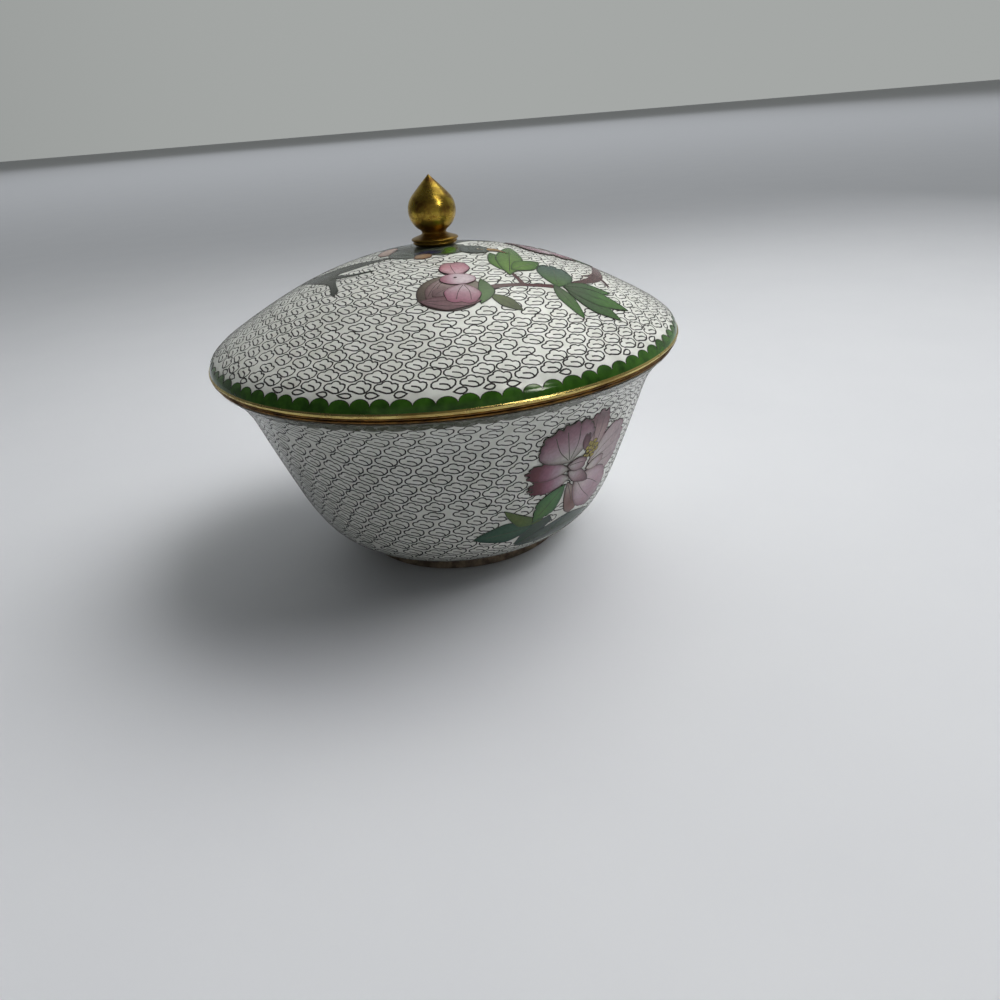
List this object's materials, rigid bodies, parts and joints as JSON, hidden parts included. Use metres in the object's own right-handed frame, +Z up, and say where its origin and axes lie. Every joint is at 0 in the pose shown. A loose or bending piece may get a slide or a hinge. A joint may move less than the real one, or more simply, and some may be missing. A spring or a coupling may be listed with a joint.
{
  "type": "cloisonne lidded bowl",
  "caption": "Bell-shaped cloisonne enamel bowl on a low brass foot, with a domed lift-off lid, gilt rims and a pointed bud finial.",
  "frame": {"origin": "middle of the foot ring's underside, on the surface the bowl stands on", "axes": "+Z up along the axis the bowl, lid and finial were turned about; -Y towards the side with the peony bud on the lid"},
  "size_m": [0.1514, 0.1514, 0.118],
  "materials": {
    "bowl_enamel": "polished glass enamel, white ground with fine dark cloud wires and inlaid flowers, on copper",
    "lid_enamel": "polished glass enamel, white ground with fine dark cloud wires, flowers and a bird, on copper",
    "bowl_rim_gilt": "worn gilding with brown tarnish",
    "lid_rim_gilt": "polished gilding, lightly tarnished",
    "foot_brass": "dark brown tarnish",
    "finial_brass": "satin turned brass with brown patina"
  },
  "bodies": {
    "root": {"bowl_body": "bowl_enamel", "bowl_rim": "bowl_rim_gilt", "foot_ring": "foot_brass", "lid_shell": "lid_enamel", "lid_rim": "lid_rim_gilt", "finial": "finial_brass"}
  },
  "joints": []
}
